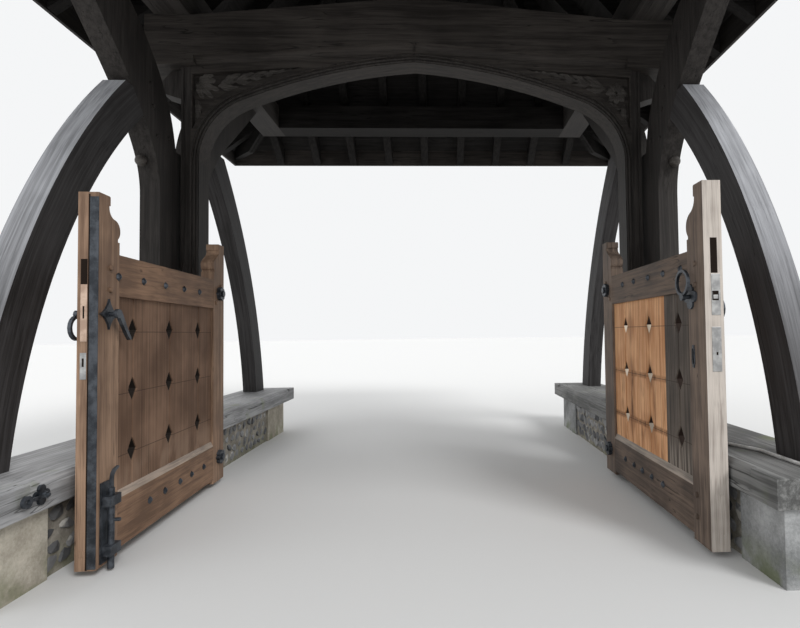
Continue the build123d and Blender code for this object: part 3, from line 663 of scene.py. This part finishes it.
up = Vector((0, 0, 1))


def onDeck(t):
    if t < eavesLength:
        return halfX - t * math.cos(eavesPitch), eavesLow + t * math.sin(eavesPitch), eavesPitch
    m = t - eavesLength
    return bendRun - m * math.cos(mainPitch), bendHigh + m * math.sin(mainPitch), mainPitch


def tileRows(side, rng):
    out = outward[side]
    back = 0.0 if out.x else ridgeHalf
    gauge, width = roof["gauge"] / 1000, roof["tileWidth"] / 1000
    thick, length = roof["tileThickness"] / 1000, roof["tileLength"] / 1000
    gap, least, lean = roof["tileGap"] / 2000, roof["leastTile"] / 1000, math.radians(roof["tilt"])
    points = []
    t, row = length / 2 + roof["firstCourse"] / 1000, 0
    while t < slopeLength + 0.02:
        d, z, pitch = onDeck(t)
        run = d + (ridgeHalf if out.x else 0.0)
        atBend = abs(t - eavesLength) < length / 2
        steep = math.radians(roof["bendPitch"]) if atBend else pitch
        u0 = up * math.sin(steep) - out * math.cos(steep)
        n0 = out * math.sin(steep) + up * math.cos(steep)
        along = u0.cross(n0)
        lift = cover * math.cos(pitch) - thick * 1.2 - math.sin(lean) * length / 2 - 0.004
        middle = out * (d + back) + up * z + n0 * lift
        s = -run - (width / 2 if row % 2 else rng.uniform(0, 0.01))
        while s < run:
            a, b = max(s + gap, -run), min(s + width - gap, run)
            s += width
            if b - a < least:
                continue
            tip = lean + rng.uniform(-0.015, 0.02)
            u = u0 * math.cos(tip) - n0 * math.sin(tip)
            n = n0 * math.cos(tip) + u0 * math.sin(tip)
            skew = rng.uniform(-0.014, 0.014)
            x = along * math.cos(skew) + u * math.sin(skew)
            y = u * math.cos(skew) - along * math.sin(skew)
            place = middle + along * ((a + b) / 2) + u0 * rng.uniform(-0.004, 0.004)
            points.append((place, axesTurn(x, y, n), (b - a, length, thick), rng.random()))
        t += gauge
        row += 1
    return points


def roofBoards(side):
    out = outward[side]
    along = Vector((-out.y, out.x, 0))
    reach, back = (ridgeHalf, 0.0) if out.x else (0.0, ridgeHalf)
    edge = roof["boardsBack"] / 1000
    low = (halfX - edge, eavesLow + edge * math.tan(eavesPitch))
    verts = []
    for lift in (0.0, roof["boardThickness"] / 1000):
        for d, z in (low, (bendRun, bendHigh), (0.0, peak)):
            for s in (-1, 1):
                verts.append(out * (d + back) + along * (s * (d + reach)) + up * (z + lift))
    faces = [(0, 1, 3, 2), (2, 3, 5, 4), (6, 8, 9, 7), (8, 10, 11, 9), (0, 6, 7, 1),
             (0, 2, 8, 6), (2, 4, 10, 8), (1, 7, 9, 3), (3, 9, 11, 5), (4, 5, 11, 10)]
    return verts, faces


def eavesBoard(side):
    out = outward[side]
    along = Vector((-out.y, out.x, 0))
    reach, back = (ridgeHalf, 0.0) if out.x else (0.0, ridgeHalf)
    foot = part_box("left_rafters")[0].z - roof["eavesBoardDrop"] / 1000    # covers the rafter ends
    outer = halfX - roof["eavesBoardBack"] / 1000
    verts = []
    for d in (outer - roof["eavesBoardThickness"] / 1000, outer):
        for z in (foot, eavesLow + roof["eavesBoardRise"] / 1000):
            for s in (-1, 1):
                verts.append(out * (d + back) + along * (s * (d + reach)) + up * z)
    return verts, boxFaces()


def hipPoints(rng):
    points = []
    r, long, gauge = roof["hipRadius"] / 1000, roof["hipLength"] / 1000, roof["hipGauge"] / 1000
    for sx in (-1, 1):
        for sy in (-1, 1):
            t = roof["firstHip"] / 1000
            while t < slopeLength - 0.02:
                d, z, _ = onDeck(t)
                d2, z2, _ = onDeck(t + 0.05)
                a = Vector((sx * d, sy * (d + ridgeHalf), z + cover))
                y = (Vector((sx * d2, sy * (d2 + ridgeHalf), z2 + cover)) - a).normalized()
                x = y.cross(up).normalized()
                n = x.cross(y)
                lean = 0.07 + rng.uniform(-0.01, 0.01)
                points.append((a - n * r * 0.85, axesTurn(x, y * math.cos(lean) - n * math.sin(lean),
                                                          n * math.cos(lean) + y * math.sin(lean)),
                               (r, long, r), rng.random()))
                t += gauge
    return points


def ridgePoints(rng):
    r = roof["ridgeRadius"] / 1000
    half = ridgeHalf + 0.05
    step, z = half * 2 / 3, peak + cover - r - 0.001
    return [((0, y * step, z), (0.0, 0.0, 0.0), (r, step - 0.004, r), rng.random()) for y in (-1, 0, 1)]


for side in outward:
    rng = random.Random(roof["seed"] + ord(side[0]))
    rows = scatter(side + "_tiles", shapes["tile"], tileRows(side, rng), clayTile, "frame")
    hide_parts(side + "_tiled_slope")
    verts, faces = roofBoards(side)
    boardOak, eavesOak = ("roofAlong", "plate") if outward[side].x else ("roofAcross", "beam")
    meshPiece(side + "_roof_boards", verts, faces, oak[boardOak], "frame")
    verts, faces = eavesBoard(side)
    meshPiece(side + "_eaves_board", verts, faces, oak[eavesOak], "frame")
rng = random.Random(roof["seed"])
scatter("hip_tiles", shapes["pipe"], hipPoints(rng), clayTile, "frame")
scatter("ridge_tiles", shapes["pipe"], ridgePoints(rng), clayTile, "frame")
print("roof tiled")


# Flints in the dwarf walls
walling = {"across": 92, "up": 68, "depth": 80, "proud": 12, "margin": 30, "firstRow": 36, "shift": 8,
           "seed": 21}


def flintPoints(name, rng):
    low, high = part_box(name)
    points = []
    across, rise, depth = walling["across"] / 1000, walling["up"] / 1000, walling["depth"] / 1000
    margin, first, shift = walling["margin"] / 1000, walling["firstRow"] / 1000, walling["shift"] / 1000
    for x, inside in ((low.x, 1), (high.x, -1)):
        for row in range(int((high.z - margin) / rise) + 1):
            y = low.y + margin + (across / 2 if row % 2 else 0)
            while y < high.y - margin:
                w, h = across * rng.uniform(1.0, 1.5), rise * rng.uniform(1.0, 1.4)
                z = first + row * rise + rng.uniform(-shift, shift)
                z = min(max(z, h * 0.62), high.z - h / 2)    # the lowest stay above the ground
                points.append(((x + inside * (depth / 2 - walling["proud"] / 1000 * rng.uniform(0.6, 1.0)),
                                y + rng.uniform(-0.01, 0.01), z),
                               (rng.uniform(-0.5, 0.5), rng.uniform(-0.15, 0.15), rng.uniform(-0.15, 0.15)),
                               (depth, w, h), rng.random()))
                y += across
    return points


for number, side in enumerate(("left", "right")):
    points = flintPoints(side + "_flint_wall", random.Random(walling["seed"] + number))
    scatter(side + "_flints", shapes["flint"], points, flintSkin, "frame")
print("walls faced with flint")


# Rolls in the steps of the posts and the arch
arch = {"sillTop": 387, "spring": 2035, "crown": 2697, "opening": 1400, "haunch": 430, "haunchTurn": 68}
rolls = {"insetDepthRadius": ((9, 20, 7), (22, 10, 8), (40, 2, 5)), "sides": 10, "steps": 16, "face": 99}


def arcPoints(centre, r, start, end, first):
    steps = rolls["steps"]
    turns = [start + (end - start) * k / steps for k in range(first, steps + 1)]
    return [centre + r * Vector((math.cos(t), math.sin(t))) for t in turns]


def archPath(inset):
    spring, turn = arch["spring"], math.radians(arch["haunchTurn"])
    centre = Vector((arch["opening"] - arch["haunch"], spring))
    points = [Vector((arch["opening"] + inset, arch["sillTop"]))]
    points += arcPoints(centre, arch["haunch"] + inset, 0, turn, 0)
    start, end = points[-1], Vector((0, arch["crown"] + inset))
    normal = (centre - start).normalized()
    gap = end - start
    big = gap.length_squared / (2 * normal.dot(gap))    # the large arc leaves the small one along its tangent
    hub = start + normal * big
    first, last = start - hub, end - hub
    return points + arcPoints(hub, big, math.atan2(first.y, first.x), math.atan2(last.y, last.x), 1)


def sweptRoll(path, y, radius, sides, verts, faces):
    first = len(verts)
    for k, p in enumerate(path):
        ahead, behind = path[min(k + 1, len(path) - 1)], path[max(k - 1, 0)]
        t = (ahead - behind).normalized()
        n = Vector((t.y, -t.x))
        for s in range(sides):
            a = s / sides * math.tau
            out = n * radius * math.cos(a)
            verts.append((p.x + out.x, y + radius * math.sin(a), p.y + out.y))
        if k:
            base = first + (k - 1) * sides
            for s in range(sides):
                m = (s + 1) % sides
                faces.append((base + s, base + m, base + sides + m, base + sides + s))
    faces.append(tuple(first + s for s in range(sides)))
    faces.append(tuple(first + (len(path) - 1) * sides + s for s in range(sides)))


verts, faces = [], []
for inset, depth, radius in rolls["insetDepthRadius"]:
    path = archPath(inset)
    for sign in (-1, 1):
        line = [Vector((p.x * sign, p.y)) for p in path]
        for face in (-1, 1):
            sweptRoll(line, face * (rolls["face"] - depth), radius, rolls["sides"], verts, faces)
meshPiece("arch_rolls", millimetres(verts), faces, oak["post"], "frame", smooth=True)
print("mouldings run")


# Leaves carved in the spandrels
carving = {"ground": 66, "rise": 27, "margin": 76, "fanRoot": (1408, 2560), "fanFrom": 150, "fanStep": 26,
           "fanRibs": (118, 118, 150, 150, 118), "corner": (1352, 2498), "rosetteRadius": 74, "petals": 8,
           "stem": ((1262, 130), (1160, 118), (1066, 108), (980, 96), (902, 84), (834, 70)),
           "fanTails": (((1415, 2440), (1408, 2300), 22, -8, 4),),
           "rosetteTails": (((1400, 2420), (1412, 2285), 22, -10, 4),
                            ((1296, 2430), (1385, 2395), 20, -12, 3)),
           "beamLow": 2694, "beamFall": 0.072}
leafSection = ((-1.0, 0.0), (-0.72, 0.85), (-0.35, 0.62), (-0.10, 0.55), (0.0, 0.95), (0.10, 0.55),
               (0.35, 0.62), (0.72, 0.85), (1.0, 0.0))


def spandrelMiddle(x):
    path = archPath(carving["margin"])
    low = arch["spring"]
    for a, b in zip(path[1:], path[2:]):
        if b.x <= x <= a.x:
            low = a.y + (b.y - a.y) * (a.x - x) / max(a.x - b.x, 1e-6)
    high = carving["beamLow"] - carving["beamFall"] * x
    return (low + high) / 2, (high - low) / 2


def leafMesh(root, tip, width, bend, lobes, verts, faces):
    axis = tip - root
    side = Vector((-axis.y, axis.x)).normalized()
    steps = 4 * lobes
    first = len(verts)
    base, rise = carving["ground"], carving["rise"]
    for k in range(steps + 1):
        t = k / steps
        c = root + axis * t + side * bend * math.sin(math.pi * t)
        full = width * math.sin(math.pi * min(0.06 + 0.94 * t, 1.0)) ** 0.6
        lobe = full * (0.72 + 0.28 * abs(math.sin(math.pi * lobes * t)))
        swell = 0.35 + 0.65 * math.sin(math.pi * (0.15 + 0.8 * t))
        for across, height in leafSection:
            p = c + side * lobe * across
            ripple = 1 - 0.25 * abs(math.cos(math.pi * lobes * t)) * abs(across)
            verts.append((p.x, -(base - 2 + rise * height * swell * ripple), p.y))
    row = len(leafSection)
    for k in range(steps):
        for s in range(row - 1):
            a = first + k * row + s
            faces.append((a, a + 1, a + row + 1, a + row))


def rosette(centre, radius, petals, verts, faces):
    for k in range(petals):
        a = k / petals * math.tau
        d = Vector((math.cos(a), math.sin(a)))
        leafMesh(centre + d * radius * 0.22, centre + d * radius, radius * 0.34, 0, 1, verts, faces)
    for k in range(petals):
        a = (k + 0.5) / petals * math.tau
        d = Vector((math.cos(a), math.sin(a)))
        leafMesh(centre + d * radius * 0.1, centre + d * radius * 0.52, radius * 0.2, 0, 1, verts, faces)


def spandrelLeaves(kind, verts, faces):
    def leafFrom(root, tip, width, bend, lobes):
        leafMesh(Vector(root), Vector(tip), width, bend, lobes, verts, faces)

    if kind == "fan":
        root = Vector(carving["fanRoot"])
        for k, long in enumerate(carving["fanRibs"]):
            a = math.radians(carving["fanFrom"] + carving["fanStep"] * k)
            d = Vector((math.cos(a), math.sin(a)))
            leafFrom(root + d * 12, root + d * long, 24, 6, 3)
    else:
        rosette(Vector(carving["corner"]), carving["rosetteRadius"], carving["petals"], verts, faces)
    for tail in carving[kind + "Tails"]:
        leafFrom(*tail)
    for x, long in carving["stem"]:
        middle, half = spandrelMiddle(x)
        ahead = spandrelMiddle(x - long)[0]
        for turn in (-1, 1):
            leafFrom((x, middle), (x - long, ahead + turn * half * 0.62), min(26, half * 0.34), turn * -8, 3)
        leafFrom((x + 16, middle), (x - long * 0.8, ahead), min(13, half * 0.25), 0, 2)


for side, sign, kind in (("left", -1, "fan"), ("right", 1, "rosette")):
    verts, faces = [], []
    spandrelLeaves(kind, verts, faces)
    both = [(sign * x, y * face, z) for face in (1, -1) for x, y, z in verts]
    twice = faces + [tuple(len(verts) + i for i in f) for f in faces]
    meshPiece(side + "_spandrel_leaves", millimetres(both), twice, oak["carved"], "frame", True)
print("spandrels carved")


# Bolts and pegs of the side frames
fixings = {"boltRadius": 33, "boltRise": 36.4, "boltAcross": 1612, "boltAt": (346, 1945), "pegRadius": 13,
           "pegRise": 10, "pegFaces": ((1529, -1), (1649, 1)),
           "pegs": ((400, 2385), (370, 2262), (326, 2098), (196, 2130))}


def fastener(place, normal, radius, rise):
    size = (radius / 1000, radius / 1000, rise / 1000)
    return millimetres([place])[0], facing(normal), size, 0.5


bolts, pegs = [], []
for sx in (-1, 1):
    for sy in (-1, 1):
        y, z = fixings["boltAt"]
        bolts.append(fastener((sx * fixings["boltAcross"], sy * y, z), (0, sy * 0.96, -0.3),
                              fixings["boltRadius"], fixings["boltRise"]))
        for y, z in fixings["pegs"]:
            for x, way in fixings["pegFaces"]:
                pegs.append(fastener((sx * x, sy * y, z), (sx * way, 0, 0), fixings["pegRadius"],
                                     fixings["pegRise"]))
scatter("brace_bolts", shapes["dome"], bolts, oak["carved"], "frame")
scatter("brace_pegs", shapes["peg"], pegs, oak["post"], "frame")

# Hinge stiles: a cap, a hollow, a round and a notch over the rail
stile = {"face": 1203, "thickness": 75, "heel": -164, "width": 163, "low": 28, "top": 1462, "step": 1297,
         "cap": 0.54, "capHeight": 0.23, "capBevel": 5, "lip": 8, "nose": 0.8, "noseOver": 4, "notch": 12,
         "steps": 14}


def stileOutline():
    w, top = stile["width"], stile["top"]
    tall, cap, notch, steps = top - stile["step"], w * stile["cap"], stile["notch"], stile["steps"]
    lip, corner = stile["lip"], stile["capBevel"]
    capLow = top - tall * stile["capHeight"]
    nose = top - tall * stile["nose"]
    points = [(0, stile["low"]), (0, top), (cap - corner, top), (cap, top - corner), (cap, capLow),
              (cap - lip, capLow)]
    reach = w + stile["noseOver"] - (cap - lip)
    for k in range(steps + 1):
        swell = (1 - math.cos(math.pi * k / steps)) / 2
        points.append((cap - lip + reach * swell, capLow - lip + (nose - capLow + lip) * k / steps))
    wide, deep = notch + stile["noseOver"], nose - stile["step"]
    for k in range(1, steps // 2 + 1):
        a = math.pi * k / steps
        points.append((w - notch + wide * math.cos(a), nose - deep * math.sin(a)))
    return points + [(w - notch, stile["step"] - notch), (w, stile["step"] - notch), (w, stile["low"])]


for sign, side in ((-1, "left"), (1, "right")):
    outline = stileOutline()
    n = len(outline)
    facesAt = (stile["face"], stile["face"] + stile["thickness"])
    verts = [(sign * x, stile["heel"] - a, z) for x in facesAt for a, z in outline]
    faces = [tuple(range(n)), tuple(range(2 * n - 1, n - 1, -1))]
    faces += [(k, (k + 1) % n, n + (k + 1) % n, n + k) for k in range(n)]
    obj = meshPiece(side + "_moulded_stile", millimetres(verts), faces, oak[side + "Stile"], side + "_gate")
    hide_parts(side + "_hinge_stile")    # the solid's head is 44 mm lower
    bevel(obj, worn["gate"])

# Studs and pegs of the leaves, as shares of the leaf's width from its heel, and heights
leaf = {"face": stile["face"], "back": stile["face"] + stile["thickness"], "heel": stile["heel"],
        "width": 1280, "lowAt": 167,
        "studRadius": 17, "studRise": 14, "backStud": 0.6, "pegRadius": 12, "pegRise": 9,
        "pegs": ((0.939, 1175), (0.939, 1088), (0.915, 219), (0.915, 130), (0.045, 1205), (0.1, 1100)),
        "left": {"topAt": 1146, "top": (0.896, 0.745, 0.589, 0.434, 0.286),
                 "low": (0.694, 0.584, 0.461, 0.357, 0.235)},
        "right": {"topAt": 1168, "top": (0.842, 0.702, 0.563, 0.413, 0.279),
                  "low": (0.659, 0.558, 0.463, 0.373, 0.270)}}


def onLeaf(sign, places, radius, rise, faces):
    return [fastener((sign * x, leaf["heel"] - u * leaf["width"], z), (sign * way, 0, 0), radius, rise)
            for u, z in places for x, way in faces]


front, back = (leaf["face"], -1), (leaf["back"], 1)
for sign, side in ((-1, "left"), (1, "right")):
    own, body = leaf[side], side + "_gate"
    studs = [(u, own["topAt"]) for u in own["top"]] + [(u, leaf["lowAt"]) for u in own["low"]]
    points = onLeaf(sign, studs, leaf["studRadius"], leaf["studRise"], (front,))
    small = leaf["backStud"]
    points += onLeaf(sign, studs, leaf["studRadius"] * small, leaf["studRise"] * small, (back,))
    scatter(side + "_gate_studs", shapes["stud"], points, blackIron, body)
    points = onLeaf(sign, leaf["pegs"], leaf["pegRadius"], leaf["pegRise"], (front, back))
    scatter(side + "_gate_pegs", shapes["peg"], points, oak[side + "Stile"], body)

# Lock plates, strips and plugs on the toes of the leaves: how wide, how proud of the toe, how high
plates = {"sunk": 1, "worn": 1.2, "wornFine": 0.2, "strip": (1202, 1234), "left": (1242, 1266),
          "leftSlot": (1251, 1257), "proud": 2, "slotProud": 2.6, "inset": 0.6}


def slabs(name, side, boxes, material, edge=plates["worn"]):
    sign = -1 if side == "left" else 1
    verts, faces = [], []
    for (x0, x1), (y0, y1), (z0, z1) in boxes:
        faces += boxFaces(len(verts))
        verts += boxVerts((sign * x0, y0, z0), (sign * x1, y1, z1))
    obj = meshPiece(side + "_" + name, millimetres(verts), faces, material, side + "_gate")
    bevel(obj, edge, False)


def onToe(across, proud, high, sunk=plates["sunk"]):
    return across, (leaves["toe"] - proud, leaves["toe"] + sunk), high


fine, proud, slotProud, inset = [plates[key] for key in ("wornFine", "proud", "slotProud", "inset")]
slabs("meeting_strip", "left", [onToe(plates["strip"], 3, (34, 1440))], roughIron)
slabs("strip_shadow", "left", [onToe((1234, 1240), 0.5, (30, 1450))], shadeSheet, 0.1)
slabs("forend", "left", [onToe(plates["left"], proud, (885, 1103))], brass)
slabs("lower_plate", "left", [onToe((1243, 1266), proud, (742, 843))], steelPlate)
# near-black sheets proud of the plates: painted shade in the slots
slabs("end_slots", "left", [onToe(plates["leftSlot"], slotProud, (973, 1020), 0),
                            onToe((1251, 1258), slotProud, (790, 822), 0),
                            onToe(plates["left"], inset, (1103, 1200))], shadeSheet, fine)
slabs("end_plugs", "left", [onToe((1244, 1262), proud, (80, 102)), onToe((1246, 1262), 0.8, (170, 232))],
      oak["leftStile"])
slabs("forend", "right", [onToe((1229, 1266), proud, (959, 1124))], steelPlate)
slabs("lower_plate", "right", [onToe((1227, 1265), proud, (734, 912))], steelPlate)
# near-black sheets proud of the plates: painted shade in the slots
slabs("end_slots", "right", [onToe((1229, 1257), inset, (1128, 1270)),
                             onToe((1232, 1258), slotProud, (1018, 1056), 0),
                             onToe((1243, 1250), slotProud, (800, 812), 0)], shadeSheet, fine)
slabs("lock_bolt", "right", [onToe((1236, 1256), 3, (1024, 1040), 0)], steelPlate)
slabs("end_plug", "right", [onToe((1240, 1262), 1.5, (95, 250))], oak["rightStile"])
slabs("keyhole_plate", "right", [((1199, 1204), (-1352, -1330), (758, 824)),
                                 ((1199, 1204), (-1348, -1334), (744, 838))], blackIron)
print("fittings in place")

for shape in shapes.values():
    bpy.data.objects.remove(shape)


# Floor, light and camera
studio = {"floor": (0.61, 0.61, 0.605), "floorRadius": 90, "sky": (0.98, 0.99, 1.0), "world": 0.93,
          "lamps": {"key": ((7.0, -9.0, 9.0), 22, 1.9), "fill": ((-9.0, -7.0, 5.0), 60, 0.6),
                    "back": ((-4.0, 10.0, 8.0), 60, 0.9)}}
bpy.ops.mesh.primitive_circle_add(vertices=96, radius=studio["floorRadius"], fill_type="NGON")
floor = bpy.context.object
floor.name = "floor"
floor.data.materials.append(Shader("pale_floor").finish(studio["floor"], 0.9, specular=0.1))

world = bpy.data.worlds.new("studio")
bpy.context.scene.world = world
world.use_nodes = True
world.node_tree.nodes["Background"].inputs[0].default_value = (*studio["sky"], 1.0)
world.node_tree.nodes["Background"].inputs[1].default_value = studio["world"]


def softSun(name, place, spread, power):
    light = bpy.data.lights.new(name, "SUN")
    light.angle = math.radians(spread)
    light.energy = power
    obj = bpy.data.objects.new(name, light)
    obj.rotation_euler = (-Vector(place)).to_track_quat("-Z", "Y").to_euler()
    bpy.context.scene.collection.objects.link(obj)


for name, lamp in studio["lamps"].items():
    softSun(name, *lamp)

camera = bpy.data.objects.new("camera", bpy.data.cameras.new("camera"))
bpy.context.scene.collection.objects.link(camera)
view = {"place": (0.1449, -3.4677, 0.9), "turn": (0.0326, 0.0425, -0.0126), "focal": 519.4,
        "centre": (461.5, 316.1), "picture": (800, 628)}
pitch, yaw, roll = view["turn"]
look = Vector((math.sin(yaw) * math.cos(pitch), math.cos(yaw) * math.cos(pitch), math.sin(pitch)))
level = Vector((math.cos(yaw), -math.sin(yaw), 0.0))
above = level.cross(look)
xAxis = level * math.cos(roll) + above * math.sin(roll)
yAxis = above * math.cos(roll) - level * math.sin(roll)
turned = Matrix((xAxis, yAxis, -look)).transposed().to_4x4()
camera.matrix_world = Matrix.Translation(view["place"]) @ turned
wide, tall = view["picture"]
camera.data.sensor_width = 36.0
camera.data.sensor_fit = "HORIZONTAL"
camera.data.lens = view["focal"] / wide * camera.data.sensor_width
camera.data.shift_x = (wide / 2 - view["centre"][0]) / wide
camera.data.shift_y = (view["centre"][1] - tall / 2) / wide
camera.data.clip_start = 0.01
camera.data.dof.use_dof = False
bpy.context.scene.camera = camera
bpy.context.scene.view_settings.view_transform = "Standard"
print("stage set")
